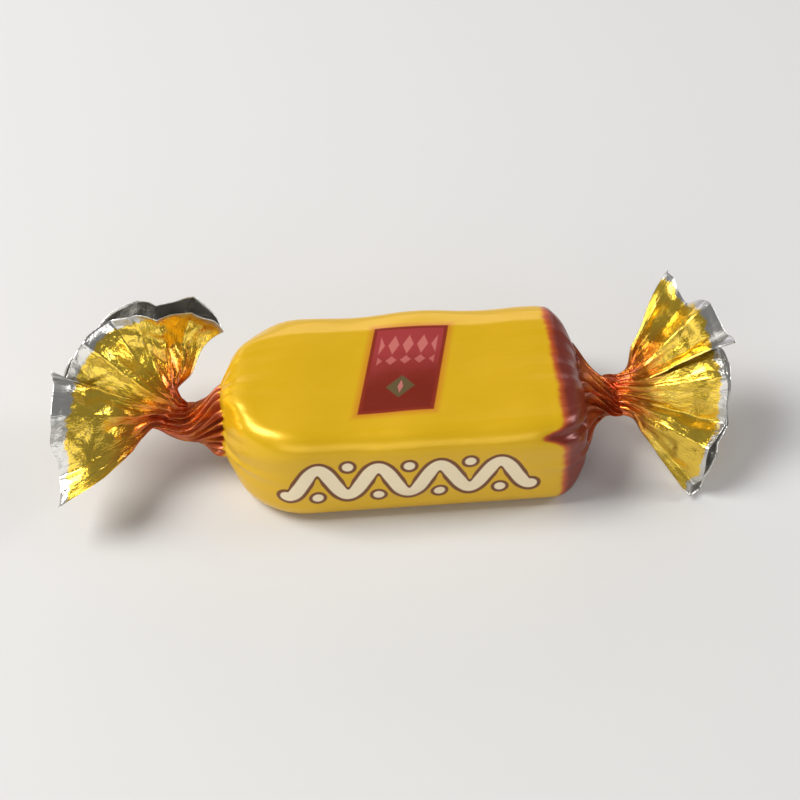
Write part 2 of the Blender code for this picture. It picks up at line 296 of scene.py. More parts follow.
# Soft boxes: place and size in metres, power in watts and colour.
LIGHTS = {
    "key": ((-0.34, 0.04, 0.42), (0.26, 0.30), 2.7, (1.0, 0.99, 0.97)),
    "front": ((-0.10, -0.46, 0.26), (0.50, 0.30), 0.62, (1.0, 0.99, 0.97)),
    "back_edge": ((0.0, 0.50, 0.19), (0.70, 0.14), 0.5, (0.95, 0.90, 1.0)),
    "side": ((0.45, 0.05, 0.24), (0.12, 0.24), 0.7, (1.0, 1.0, 1.0)),
}
SURROUND_COLOUR = (0.85, 0.87, 0.9, 1.0)
SURROUND_STRENGTH = 0.2
FLOOR_HALF_SIZE = 1.2

# Camera, in front of the piece and high above it.
CAMERA_AIM = (0.0, 0.0008, 0.0058)
CAMERA_AZIMUTH = math.radians(-5)
CAMERA_ELEVATION = math.radians(47)
CAMERA_LENS = 85
CAMERA_SENSOR = 36
CAMERA_NEAR = 0.005
VIEW_WIDTH = 0.0785


def srgb(red, green, blue):
    """A linear colour with full alpha from 8-bit display values."""
    def linear(value):
        value = value / 255
        return value / 12.92 if value <= 0.04045 else ((value + 0.055) / 1.055) ** 2.4
    return (linear(red), linear(green), linear(blue), 1.0)


YELLOW = srgb(232, 184, 12)
YELLOW_FAN = srgb(240, 202, 68)
ORANGE = srgb(218, 126, 28)
RED = srgb(196, 84, 36)
# Maroon ink in two tones: the lighter one at the twists is painted light, the darker one on the block's
# ends is painted shade.
MAROON_PAINTED_LIGHT = srgb(188, 94, 50)
MAROON_PAINTED_SHADE = srgb(126, 44, 28)
SILVER = srgb(212, 210, 204)
LABEL_RED = srgb(132, 34, 8)
LABEL_PALE = srgb(176, 60, 60)
LABEL_EDGE = srgb(146, 44, 16)
LABEL_PINK = srgb(222, 128, 118)
LABEL_GREEN = srgb(104, 92, 56)
CREAM = srgb(255, 238, 202)
BROWN = srgb(122, 66, 22)
BROWN_DARK = srgb(84, 44, 22)
FLOOR_WHITE = srgb(222, 221, 219)


def smooth_step(low, high, value):
    """0 below low, 1 above high, with no corner at either: s * s * (3 - 2 s)."""
    share = np.clip((value - low) / (high - low), 0.0, 1.0)
    return share * share * (3 - 2 * share)


def film_lines():
    """The columns' line numbers, 0 to 1 round the piece, and their places round the block.

    Pleats take the same number of columns each but differ in width, so place is a bent line against
    line number.
    """
    widths = 1 + PLEAT_WIDTH_SPREAD * np.random.default_rng(PLEAT_WIDTH_SEED).uniform(-1, 1, PLEAT_COUNT)
    edges = np.concatenate([[0.0], np.cumsum(widths) / widths.sum()])
    line = np.arange(COLUMNS) / COLUMNS
    return line, np.interp(line, np.linspace(0, 1, PLEAT_COUNT + 1), edges)


def rounded_rectangle(place, half_width, half_height, radius):
    """Points of a rounded rectangle at fractions of its length, from the back's middle over the top.

    A quarter is a straight rise, an arc and a straight run by arc length, and the others mirror it.
    """
    quarter = np.floor((place % 1) * 4)
    along = (place % 1) * 4 - quarter
    along = np.where(quarter % 2 == 1, 1 - along, along)
    rise = half_height - radius
    run = half_width - radius
    arc = radius * TURN / 4
    distance = along * (rise + arc + run)
    angle = np.clip((distance - rise) / radius, 0, TURN / 4)
    across = run + radius * np.cos(angle) - np.clip(distance - rise - arc, 0, None)
    upward = np.minimum(distance, rise) + radius * np.sin(angle)
    back = np.where((quarter == 0) | (quarter == 3), 1.0, -1.0)
    top = np.where(quarter < 2, 1.0, -1.0)
    return across * back, upward * top


def round_over(distance, radius):
    """How far a quarter-round edge has drawn in at a distance from the end: r - sqrt(r^2 - (r - d)^2)."""
    inside = np.clip(radius - distance, 0, radius)
    return radius - np.sqrt(radius * radius - inside * inside)


def block_ring(along, end, place):
    """One ring of film on the block, a rounded rectangle that shrinks over the rounded end edges."""
    to_end = BLOCK_LENGTH / 2 - along
    narrower = round_over(to_end, end["plan_radius"])
    lower = round_over(to_end, END_EDGE_RADIUS)
    half_width = BLOCK_WIDTH / 2 - narrower
    half_height = BLOCK_HEIGHT / 2 - lower
    grown = LONG_EDGE_RADIUS + CORNER_GROWTH * narrower
    radius = min(grown, CORNER_LIMIT * min(half_width, half_height))
    across, upward = rounded_rectangle(place, half_width, half_height, radius)
    height = BLOCK_HEIGHT / 2 + upward
    return np.stack([np.full_like(across, end["side"] * along), across, height], axis=-1)


def crease_heights(line, count, seed):
    """Straight slopes between randomly placed and randomly high crease lines, closed round the film."""
    rng = np.random.default_rng(seed)
    lines = (np.arange(count) + rng.uniform(-FOLD_JITTER, FOLD_JITTER, count)) / count
    heights = rng.uniform(-1, 1, count)
    lines = np.concatenate([lines - 1, lines, lines + 1])
    return np.interp(line, lines, np.tile(heights, 3))


def crumple(around, along, seed, size, count=4):
    """Flat facets with crisp edges: the mean of a few triangle waves that run in random directions.

    Each wave's crests drift to and fro in a slow sine pattern, so that no two facets are alike.
    """
    rng = np.random.default_rng(seed)
    total = 0.0
    for _ in range(count):
        heading = rng.uniform(0, math.pi)
        length = size * rng.uniform(*FACET_SIZES)
        drift = np.sin(around / (1.7 * size) + rng.uniform(0, TURN)) * np.sin(along / (1.3 * size))
        phase = (around * math.cos(heading) + along * math.sin(heading)) / length + rng.uniform()
        phase = phase + FACET_DRIFT * drift
        total = total + (np.abs(2 * (phase % 1) - 1) * 2 - 1) * length / size
    return total / count


def dent(points, line, place):
    """Waves, folds, facets and creases of the film on the block, most of them not underneath."""
    along = points[..., 0]
    above = smooth_step(*DENT_UNDERSIDE, np.sin(TURN * place))
    broad = DENT_DEPTH * above * (1 - smooth_step(*DENT_ENDS, np.abs(along)))
    for turn_along, turn_round, start in DENT_WAVES:
        broad = broad * np.sin(turn_along * along + turn_round * place + start)
    facets = FACET_HEIGHT * crumple(place * FILM_ROUND, along, FACET_SEED, FACET_SIZE) * above
    creases = seam_step(place) - pinch(along, place) - back_facet(along, place)
    return broad + pulled_folds(along, line, above) + facets + end_ridge(along, place) * above + creases


def pulled_folds(along, line, above):
    """Folds that run in from the twists and die away exponentially, each at its own rate."""
    reach = PULL_REACH + PULL_REACH_SPREAD * crease_heights(line, PULL_REACH_COUNT, PULL_REACH_SEED)
    pulled = np.exp(-(BLOCK_LENGTH / 2 - np.abs(along)) / reach)
    height = PULL_HEIGHT * (PULL_UNDERNEATH + (1 - PULL_UNDERNEATH) * above)
    return height * crease_heights(line, PULL_COUNT, PULL_SEED) * pulled


def end_ridge(along, place):
    """A low ridge round the right end, a bell curve that wanders a little along the block."""
    apart = (along - RIDGE_ALONG - RIDGE_WANDER * np.sin(TURN * place * 2)) / RIDGE_WIDTH
    return RIDGE_HEIGHT * np.exp(-apart * apart)


def pinch(along, place):
    """A groove along the front edge at the right end, a bell curve across."""
    apart = (place - PINCH_PLACE) * FILM_ROUND / PINCH_WIDTH
    return PINCH_DEPTH * np.exp(-apart * apart) * smooth_step(*PINCH_ENDS, along)


def back_facet(along, place):
    """How far the film cuts in behind a crisp crease along the top's back edge.

    The depth rises in a straight slope from the crease to the long edge, and then eases out round the
    edge as (1 + a u) (1 - u)^2, with a chosen so that both slopes meet.
    """
    beyond = (BACK_CREASE_PLACE - place) * FILM_ROUND
    share = np.clip((beyond - BACK_FACET_RUN) / BACK_FACET_RETURN, 0, 1)
    steep = 2 + BACK_FACET_RETURN / BACK_FACET_RUN
    depth = np.clip(beyond / BACK_FACET_RUN, 0, 1) * (1 + steep * share) * (1 - share) ** 2
    return BACK_FACET_DEPTH * depth * (1 - smooth_step(*BACK_FACET_ENDS, np.abs(along)))


def seam_step(place):
    """The free edge of the film, which lies along the lower back as a low step."""
    before = SEAM_PLACE - place % 1
    return SEAM_STEP * np.where(before > 0, 1 - smooth_step(0.0, SEAM_REACH, before), 0.0)


def pleat_wave(line):
    """Overlapping pleats: a saw up to each ridge and down again, with ridges uneven in place and height."""
    rng = np.random.default_rng(PLEAT_SEED)
    phase = (line * PLEAT_COUNT) % 1
    number = np.floor(line * PLEAT_COUNT).astype(int) % PLEAT_COUNT
    rise = 0.5 + PLEAT_LEAN * rng.uniform(-1, 1, PLEAT_COUNT)[number]
    saw = np.where(phase < rise, phase / rise, (1 - phase) / (1 - rise))
    height = rng.uniform(*PLEAT_HEIGHTS, PLEAT_COUNT)[number]
    return saw * 2 * height - 1


def wrinkles(line, end):
    """Fine wrinkles of the gathered film, from -1 to 1, which keep to their lines."""
    return crease_heights(line, WRINKLE_COUNT, end["seed"] + WRINKLE_SEED)


def frame_of(end):
    """Directions of the fan: outward from the neck, across the fan, and through it to its upper face."""
    side = end["side"]
    outward = np.array([
        side * math.cos(end["pitch"]) * math.cos(end["yaw"]),
        math.cos(end["pitch"]) * math.sin(end["yaw"]),
        math.sin(end["pitch"]),
    ])
    back = np.array([0.0, 1.0, 0.0]) - outward * outward[1]
    back = back / np.linalg.norm(back)
    upward = side * np.cross(outward, back)
    across = math.cos(end["roll"]) * back + math.sin(end["roll"]) * upward
    through = math.cos(end["roll"]) * upward - math.sin(end["roll"]) * back
    return outward, across, through


def fold_over(points, fold):
    """Turn what lies beyond a line over a cylinder, as paper is curled round a pencil.

    Beyond the line, a distance becomes an angle of distance / radius, up to the fold's full angle.
    """
    along, across, heading, angle, radius = fold
    direction = np.array([math.cos(heading), math.sin(heading)])
    beyond = (points[..., :2] - np.array([along, across])) @ direction
    sense = math.copysign(1.0, angle)
    arc = abs(angle) * radius
    turned = np.clip(beyond, 0, arc) / radius
    past = np.clip(beyond - arc, 0, None)
    arm = radius - sense * points[..., 2]
    reach = arm * np.sin(turned) + past * np.cos(turned)
    rise = radius - arm * np.cos(turned) + past * np.sin(turned)
    change = np.where(beyond > 0, reach - beyond, 0.0)
    flat = points[..., :2] + change[..., None] * direction
    height = np.where(beyond > 0, sense * rise, points[..., 2])
    return np.concatenate([flat, height[..., None]], axis=-1)


def ruffle_heights(end):
    """Lines and heights of the ridges and valleys across one layer of the fan, which alternate."""
    rng = np.random.default_rng(end["seed"])
    count = RUFFLE_COUNT + 1
    heights = rng.uniform(RUFFLE_LEAST, 1.0, count) * np.where(np.arange(count) % 2 == 0, 1, -1)
    lines = np.arange(count) / RUFFLE_COUNT
    lines[1:-1] += rng.uniform(-RUFFLE_JITTER, RUFFLE_JITTER, count - 2) / RUFFLE_COUNT
    return np.round(lines * RUFFLE_PLACES) / RUFFLE_PLACES, heights * RUFFLE_HEIGHT


def fan_relief(out, share, half_line, end):
    """Ruffles, creases and cupping that a fan's two layers share, each growing outwards in its own way."""
    outer = out / FAN_LENGTH
    wider = RUFFLE_INNER_SHARE + (1 - RUFFLE_INNER_SHARE) * outer
    ruffle = np.interp(half_line, *ruffle_heights(end)) * smooth_step(*RUFFLE_GROWTH, out) * wider
    creases = CREASE_HEIGHT * crease_heights(half_line * 0.5, CREASE_COUNT, end["seed"] + CREASE_SEED)
    creases = creases * smooth_step(*CREASE_GROWTH, out) * (1 - CREASE_LOSS * outer)
    cup = end["cup"] * (share * share - CUP_CENTRE) * smooth_step(CUP_START, FAN_LENGTH, out)
    return ruffle + creases + cup


def fan_sheet(out, line, end):
    """Points of the fan at distances out from the neck's end, in the fan's own directions.

    A line's bearing is an arcsine of its cosine, so that the lines spread evenly and double back at two
    folds. The two layers share their relief, and each is half the gap from the sheet between them.
    """
    apex = NECK_RADIUS / math.sin(end["half_angle"])
    reach = apex + out
    angle = TURN * line
    share = np.arcsin(FOLD_TIGHTNESS * np.cos(angle)) / math.asin(FOLD_TIGHTNESS)
    opening = FAN_START_OPENING + (1 - FAN_START_OPENING) * smooth_step(0, FAN_LENGTH, out)
    bearing = share * end["half_angle"] * opening
    layer = np.sin(angle) * np.sqrt((1 + LAYER_SOFTNESS) / (np.sin(angle) ** 2 + LAYER_SOFTNESS))
    gap = FAN_HALF_GAP + (NECK_RADIUS - FAN_HALF_GAP) * np.exp(-out / TUBE_FADE)
    height = gap * layer + fan_relief(out, share, np.minimum(line, 1 - line) * 2, end)
    sheet = np.stack([reach * np.cos(bearing) - apex, reach * np.sin(bearing), height], axis=-1)
    for fold in end["folds"]:
        sheet = fold_over(sheet, fold)
    return sheet


def corner_stretch(line, end):
    """How much longer the film is near its loose corner."""
    apart = np.abs((line - end["corner"] + 0.5) % 1 - 0.5)
    return CORNER_LENGTH * np.clip(1 - apart / CORNER_REACH, 0, 1)


def neck_ring(distance, line, swirl, end):
    """A circle of the neck at a distance along its bent axis, turned by the film's swirl."""
    side = end["side"]
    outward, across, through = frame_of(end)
    bend = smooth_step(0, 1, distance / end["neck_length"])
    start = np.array([side * (BLOCK_LENGTH / 2 + SHOULDER_LENGTH), 0.0, BLOCK_HEIGHT / 2])
    straight = np.array([side, 0.0, 0.0])
    centre = start + distance * ((1 - 0.5 * bend) * straight + 0.5 * bend * outward)
    fan_back = math.cos(end["roll"]) * across - math.sin(end["roll"]) * through
    fan_up = math.sin(end["roll"]) * across + math.cos(end["roll"]) * through
    back = (1 - bend) * np.array([0.0, 1.0, 0.0]) + bend * fan_back
    upward = (1 - bend) * np.array([0.0, 0.0, 1.0]) + bend * fan_up
    angle = (TURN * line + swirl)[:, None]
    return centre + NECK_RADIUS * (np.cos(angle) * back + np.sin(angle) * upward)


def block_rows(end, line, place):
    """Rings from the block's middle to the end of its rounded end edge, and the dents in them."""
    straight = BLOCK_LENGTH / 2 - end["plan_radius"]
    sweeps = np.linspace(0, END_SWEEP, EDGE_ROWS)
    places = [straight * step / BODY_ROWS for step in range(BODY_ROWS)]
    places += [straight + end["plan_radius"] * math.sin(sweep) for sweep in sweeps]
    rows = [block_ring(along, end, place) for along in places]
    return rows, [dent(ring, line, place) for ring in rows]


def shoulder_rows(last, line, end):
    """Rings that draw the block's last ring down to the neck, and the pleats in them.

    Each is a mix of the two, with the swirl growing as the square of the share, and the pleats deepest a
    little before half way.
    """
    rows = []
    pushes = []
    for step in range(1, SHOULDER_ROWS + 1):
        share = step / SHOULDER_ROWS
        ring = neck_ring(0.0, line, SHOULDER_SWIRL * share * share, end)
        drawn = last + (ring - last) * share
        lift = SHOULDER_EASE * share + (1 - SHOULDER_EASE) * share ** 3
        drawn[:, 0] = last[:, 0] + (ring[:, 0] - last[:, 0]) * lift
        swell = math.sin(TURN / 4 * min(share / PLEAT_DEEPEST, 1.0))
        depth = PLEAT_DEPTH * swell * (1 - share) + NECK_PLEAT_DEPTH * share
        fine = WRINKLE_FIRST * (1 - share) + WRINKLE_HEIGHT * share
        rows.append(drawn)
        pushes.append(depth * pleat_wave(line) + fine * wrinkles(line, end))
    return rows, pushes


def neck_rows(line, swirl_after, end):
    """Rings of the neck, with the swirl growing evenly, and the pleats in them."""
    rows = []
    for step in range(1, NECK_ROWS + 1):
        share = step / NECK_ROWS
        turned = SHOULDER_SWIRL + (swirl_after - SHOULDER_SWIRL) * share
        rows.append(neck_ring(end["neck_length"] * share, line, turned, end))
    push = NECK_PLEAT_DEPTH * pleat_wave(line) + WRINKLE_HEIGHT * wrinkles(line, end)
    return rows, [push] * NECK_ROWS


def fan_push(out, line, place, end):
    """What stands off a fan at a distance out: pleats and wrinkles near the neck, crumple further out."""
    near = math.exp(-((out / FAN_PLEAT_FADE) ** 2))
    gathered = NECK_PLEAT_DEPTH * pleat_wave(line) + WRINKLE_HEIGHT * wrinkles(line, end)
    around = place * FILM_ROUND
    level = np.full_like(around, out)
    facets = 0.0
    for size, height, seed in FAN_CRUMPLES:
        facets = facets + height * crumple(around, level, end["seed"] + seed, size, CRUMPLE_WAVES)
    fan_line = (line + TWIST_PLEATS / PLEAT_COUNT) % 1
    off_folds = np.minimum(np.abs(np.sin(TURN * fan_line)) * 3, 1)
    return near * gathered + facets * smooth_step(*CRUMPLE_GROWTH, out) * off_folds


def fan_rows(line, place, end, swirl_before, swirl):
    """Rings from the neck's end to the fan's rim, which grow from a tube into the flattened fan."""
    outward, across, through = frame_of(end)
    start = neck_ring(end["neck_length"], line, swirl, end).mean(axis=0)
    fan_line = (line + TWIST_PLEATS / PLEAT_COUNT) % 1
    length = FAN_LENGTH + corner_stretch(fan_line, end)
    length = length + RIM_UNEVENNESS * crease_heights(line, RIM_NOTCHES, end["seed"] + RIM_SEED)
    rows = []
    pushes = []
    for step in range(1, FAN_ROWS + 1):
        share = (step / FAN_ROWS) ** FAN_ROW_POWER
        blend = float(smooth_step(0.0, FAN_BLEND, share))
        sheet = fan_sheet(length * share, fan_line, end)
        angle = TURN * fan_line - (swirl - swirl_before) * (1 - blend)
        radius = NECK_RADIUS + TUBE_FLARE * FAN_LENGTH * share
        tube = np.stack([np.full_like(line, FAN_LENGTH * share), radius * np.cos(angle),
                         radius * np.sin(angle)], axis=-1)
        ring = blend * sheet + (1 - blend) * tube
        rows.append(start + ring @ np.array([outward, across, through]))
        pushes.append(fan_push(FAN_LENGTH * share, line, place, end))
    return rows, pushes


def normals_of(rows, side):
    """Outward directions of a surface whose rows run along the piece from its middle."""
    along = np.gradient(rows, axis=0)
    around = np.roll(rows, -1, axis=1) - np.roll(rows, 1, axis=1)
    normal = side * np.cross(around, along)
    return normal / np.linalg.norm(normal, axis=-1, keepdims=True)


def mouth_ring(ring, width=1.0, openness=1.0):
    """A ring inside the fan: the outer ring's two layers, each a film's thickness nearer their middle line.

    A width under 1 keeps only that share of the mouth's width, about its middle, and an openness under 1
    only that share of the gap.
    """
    steps = COLUMNS // 2
    fan_order = np.roll(ring, TWIST_PLEATS * COLUMNS_PER_PLEAT, axis=0)
    upper = fan_order[:steps + 1]
    lower = fan_order[-np.arange(steps + 1) % COLUMNS]
    share = np.linspace(0, 1, steps + 1)
    from_fold = np.minimum(share, 1 - share)
    inset = MOUTH_INSET * (1 - smooth_step(0, MOUTH_INSET_REACH, from_fold)) * np.sign(0.5 - share)
    place = (0.5 + (share + inset - 0.5) * width) * steps
    below = np.minimum(place.astype(int), steps - 1)
    part = (place - below)[:, None]
    middle = (upper + lower) / 2
    half = (upper - lower) / 2
    middle = middle[below] * (1 - part) + middle[below + 1] * part
    half = half[below] * (1 - part) + half[below + 1] * part
    gap = np.linalg.norm(half, axis=1)
    kept = np.clip(1 - FILM_THICKNESS / gap, LEAST_OPENING, 1) * openness
    kept = kept * smooth_step(*MOUTH_RAMP, from_fold)
    kept[[0, -1]] = 0.0
    inner_upper = middle + kept[:, None] * half
    inner_lower = middle - kept[:, None] * half
    joined = np.concatenate([inner_upper, inner_lower[-2:0:-1]])
    return np.roll(joined, -TWIST_PLEATS * COLUMNS_PER_PLEAT, axis=0)


def end_rows(end):
    """Rows of one end from the block's middle to the bottom of the mouth, and their places along the film.

    A place along is the mean distance that the film has run. Down the mouth it goes on growing, which
    tells the silver inside from the printed outside. The point at the mouth's bottom and the number of
    rows outside come with them.
    """
    line, place = film_lines()
    swirl = end["roll"] + TURN * TWIST_PLEATS / PLEAT_COUNT
    neck_swirl = SHOULDER_SWIRL + (swirl - SHOULDER_SWIRL) * NECK_SWIRL_SHARE
    rows, pushes = block_rows(end, line, place)
    for more, depths in (
        shoulder_rows(rows[-1], line, end),
        neck_rows(line, neck_swirl, end),
        fan_rows(line, place, end, neck_swirl, swirl),
    ):
        rows = rows + more
        pushes = pushes + depths
    rows = np.array(rows)
    outside = rows + np.array(pushes)[..., None] * normals_of(rows, end["side"])
    deep = np.concatenate([np.arange(MOUTH_ROWS), MOUTH_ROWS + 2 * np.arange(MOUTH_SPARSE_ROWS)])
    mouth = [mouth_ring(outside[-1 - number]) for number in deep]
    for number, narrowing in enumerate(MOUTH_NARROWING):
        mouth.append(mouth_ring(outside[-2 - deep[-1] - number], *narrowing))
    tip = outside[-2 - deep[-1] - len(MOUTH_NARROWING)].mean(axis=0)
    every = np.concatenate([outside, np.array(mouth)])
    steps = np.linalg.norm(np.diff(every, axis=0), axis=-1).mean(axis=1)
    along = np.concatenate([[0.0], np.cumsum(steps)]) * end["side"]
    return every, along, tip, len(outside)


def film_map(around, along):
    """Places on the film's map, from a share of the way round and metres along."""
    return np.stack([around, 0.5 + along / MAP_LENGTH], axis=-1)


def wrapper_map(along):
    """Map places of the corners of the wrapper's faces: its four-sided faces, then its two mouths'."""
    place = np.append(film_lines()[1], 1.0)
    near, far = place[:-1], place[1:]
    size = (len(along) - 1, len(near))
    here = np.broadcast_to(near, size)
    beside = np.broadcast_to(far, size)
    low = np.broadcast_to(along[:-1, None], size)
    high = np.broadcast_to(along[1:, None], size)
    corners = [film_map(here, low), film_map(beside, low), film_map(beside, high), film_map(here, high)]
    maps = [np.stack(corners, axis=2).reshape(-1, 2)]
    for first, second, at in ((far, near, along[0]), (near, far, along[-1])):
        level = np.full(len(near), at)
        corners = [film_map(first, level), film_map(second, level), film_map(first, level)]
        maps.append(np.stack(corners, axis=1).reshape(-1, 2))
    return np.concatenate(maps)


def wrapper_surface():
    """The closed film: the left end's rows reversed, then the right end's, with a point in each mouth.

    How far the film has run at the block's ends and at the rims, as means of both ends, comes with it.
    """
    left, left_along, left_tip, outside = end_rows(LEFT_END)
    right, right_along, right_tip, _ = end_rows(RIGHT_END)
    rows = np.concatenate([left[:0:-1], right])
    along = np.concatenate([left_along[:0:-1], right_along])
    count, columns = rows.shape[:2]
    points = np.concatenate([rows.reshape(-1, 3), [left_tip, right_tip]])
    number = np.arange(count * columns).reshape(count, columns)
    beside = np.roll(number, -1, axis=1)
    quads = np.stack([number[:-1], beside[:-1], beside[1:], number[1:]], axis=-1).reshape(-1, 4)
    left_cap = np.stack([beside[0], number[0], np.full(columns, count * columns)], axis=-1)
    right_cap = np.stack([number[-1], beside[-1], np.full(columns, count * columns + 1)], axis=-1)
    faces = quads.tolist() + left_cap.tolist() + right_cap.tolist()
    reach = (np.abs(left_along) + np.abs(right_along)) / 2
    return points, faces, wrapper_map(along), reach[BODY_ROWS + EDGE_ROWS - 1], reach[outside - 1]


def softened(field, passes):
    """A field over the rows and columns, averaged with its neighbours a number of times."""
    for _ in range(passes):
        field = (2 * field + np.roll(field, 1, axis=1) + np.roll(field, -1, axis=1)) / 4
        padded = np.concatenate([field[:1], field, field[-1:]])
        field = (padded[:-2] + 2 * field + padded[2:]) / 4
    return field


def fan_strip(corner):
    """The part of the fan's own surface that a loose layer lies on, run on straight past the rim.

    It gives points, softened normals, the columns' places round the film, the rows' places along it, and
    the way from 0 at the fold to 1 at the free edge.
    """
    end = corner["end"]
    every, along, _, count = end_rows(end)
    normal = softened(normals_of(every[:count], end["side"]), LAYER_SOFTENING)
    start = count - FAN_ROWS + LAYER_START_ROW
    first, last = sorted((corner["fold"], corner["free"]))
    number = np.arange(round(first * COLUMNS), round(last * COLUMNS) + 1) - TWIST_PLEATS * COLUMNS_PER_PLEAT
    surface = every[start:count, number % COLUMNS]
    normal = normal[start:count, number % COLUMNS]
    normal = normal / np.linalg.norm(normal, axis=-1, keepdims=True)
    way = np.linspace(0, 1, len(number))
    way = 1 - way if corner["free"] < corner["fold"] else way
    ahead = surface[-1] - surface[-1 - LAYER_HEADING_ROWS]
    ahead = ahead / np.linalg.norm(ahead, axis=-1, keepdims=True)
    steps = np.linspace(0, 1, LAYER_EXTRA_ROWS + 1)[1:, None, None]
    beyond = surface[-1] + steps * (corner["extra"] * way ** 2)[:, None] * ahead
    surface = np.concatenate([surface, beyond])
    normal = np.concatenate([normal, np.broadcast_to(normal[-1], beyond.shape)])
    place = film_lines()[1][number % COLUMNS] + np.floor(number / COLUMNS)
    level = np.append(along[start:count], along[count - 1] + np.zeros(LAYER_EXTRA_ROWS))
    return surface, normal, place, level, way


def sheet_faces(rows, columns, side):
    """Four-sided faces of a closed sheet: its upper side, its lower side and the walls round its edge."""
    index = np.arange(rows * columns).reshape(rows, columns)
    top = np.stack([index[:-1, :-1], index[:-1, 1:], index[1:, 1:], index[1:, :-1]], axis=-1).reshape(-1, 4)
    under = top[:, ::-1] + rows * columns
    ring = np.concatenate([index[0, :-1], index[:-1, -1], index[-1, :0:-1], index[:0:-1, 0]])
    after = np.roll(ring, -1)
    walls = np.stack([after, ring, ring + rows * columns, after + rows * columns], axis=-1)
    faces = np.concatenate([top, under, walls])
    return faces if side > 0 else faces[:, ::-1]


def loose_layer(corner):
    """A layer of film that lies on a fan, from near its fold to a free edge that lifts off it.

    Each point is the fan's own surface moved along its softened normal. The height grows as the square of
    the way to the free edge and towards the rim, past which the layer's corner runs on straight. The sheet
    is closed: an upper side with the print, and a lower side a film's thickness under it.
    """
    surface, normal, place, level, way = fan_strip(corner)
    end = corner["end"]
    out = np.linspace(0, 1, len(surface))[:, None]
    seed = end["seed"] + LAYER_CRUMPLE_SEED
    own = crumple(place[None, :] * FILM_ROUND, level[:, None], seed, LAYER_CRUMPLE_SIZE)
    lift = corner["lift"] + LAYER_CRUMPLE_HEIGHT * own
    height = LAYER_CLEARANCE + lift * way ** 2 * smooth_step(0.0, LAYER_FULL_LIFT, out)
    upper = surface + height[..., None] * normal
    lower = surface + (height - LAYER_THICKNESS)[..., None] * normal
    faces = sheet_faces(*height.shape, end["side"])
    around = np.broadcast_to(place, height.shape)
    printed = film_map(around, np.broadcast_to(level[:, None], height.shape))
    silver = film_map(around, np.full(height.shape, end["side"] * SILVER_PLACE))
    places = np.concatenate([printed.reshape(-1, 2), silver.reshape(-1, 2)])
    points = np.concatenate([upper.reshape(-1, 3), lower.reshape(-1, 3)])
    return points, faces.tolist(), places[faces.ravel()]


def add_mesh(name, points, faces, corner_places, material):
    """An object of the film from arrays, with the film's own map: place round it, place along it."""
    mesh = bpy.data.meshes.new(name)
    mesh.from_pydata(points.tolist(), [], faces)
    layer = mesh.uv_layers.new(name=MAP_NAME)
    layer.data.foreach_set("uv", np.asarray(corner_places, dtype=np.float32).ravel())
    mesh.materials.append(material)
    mesh.shade_smooth()
    mesh.update()
    piece = bpy.data.objects.new(name, mesh)
    bpy.context.scene.collection.objects.link(piece)
    return piece


class Wire:
    """A number that a node gives out. Arithmetic on it adds Math nodes to its tree."""

    def __init__(self, tree, socket):
        self.tree = tree
        self.socket = socket

    def math(self, operation, *values):
        node = self.tree.nodes.new("ShaderNodeMath")
        node.operation = operation
        for slot, value in zip(node.inputs, values):
            if isinstance(value, Wire):
                self.tree.links.new(value.socket, slot)
            else:
                slot.default_value = value
        return Wire(self.tree, node.outputs[0])

    def __add__(self, other):
        return self.math("ADD", self, other)

    def __radd__(self, other):
        return self.math("ADD", other, self)

    def __sub__(self, other):
        return self.math("SUBTRACT", self, other)

    def __rsub__(self, other):
        return self.math("SUBTRACT", other, self)

    def __mul__(self, other):
        return self.math("MULTIPLY", self, other)

    def __rmul__(self, other):
        return self.math("MULTIPLY", other, self)

    def __truediv__(self, other):
        return self.math("DIVIDE", self, other)

    def __pow__(self, other):
        return self.math("POWER", self, other)

    def __mod__(self, other):
        return self.math("FLOORED_MODULO", self, other)

    def __abs__(self):
        return self.math("ABSOLUTE", self)

    def sine(self):
        return self.math("SINE", self)

    def cosine(self):
        return self.math("COSINE", self)

    def exponent(self):
        return self.math("EXPONENT", self)

    def at_most(self, other):
        return self.math("MINIMUM", self, other)

    def at_least(self, other):
        return self.math("MAXIMUM", self, other)

    def rise(self, low, high):
        """0 below low and 1 above high, smoothly."""
        node = self.tree.nodes.new("ShaderNodeMapRange")
        node.interpolation_type = "SMOOTHSTEP"
        self.tree.links.new(self.socket, node.inputs["Value"])
        node.inputs["From Min"].default_value = low
        node.inputs["From Max"].default_value = high
        return Wire(self.tree, node.outputs["Result"])

    def fall(self, low, high):
        """1 below low and 0 above high, smoothly."""
        return 1 - self.rise(low, high)


def length_of(x, y):
    """The distance from the point where both are 0: the root of x * x + y * y."""
    return (x * x + y * y) ** 0.5


class Finish:
    """A material's node tree, with its Principled shader."""

    def __init__(self, name):
        self.material = bpy.data.materials.new(name)
        self.material.use_nodes = True
        self.tree = self.material.node_tree
        self.shader = self.tree.nodes["Principled BSDF"]

    def put(self, socket, value):
        if isinstance(value, Wire):
            self.tree.links.new(value.socket, socket)
        else:
            socket.default_value = value

    def node(self, kind, settings=None, inputs=None):
        """A node of any kind: its settings first, then the values or links of its sockets."""
        node = self.tree.nodes.new(kind)
        for name, value in (settings or {}).items():
            setattr(node, name, value)
        for name, value in (inputs or {}).items():
            self.put(node.inputs[name], value)
        return node

    def wire(self, node, output):
        return Wire(self.tree, node.outputs[output])

    def colour_mix(self, mask, first, second):
        """The first colour where the mask is 0, and the second where it is 1."""
        node = self.node("ShaderNodeMix", {"data_type": "RGBA"})
        self.put(node.inputs[0], mask)
        self.put(node.inputs[6], first)
        self.put(node.inputs[7], second)
        return Wire(self.tree, node.outputs[2])


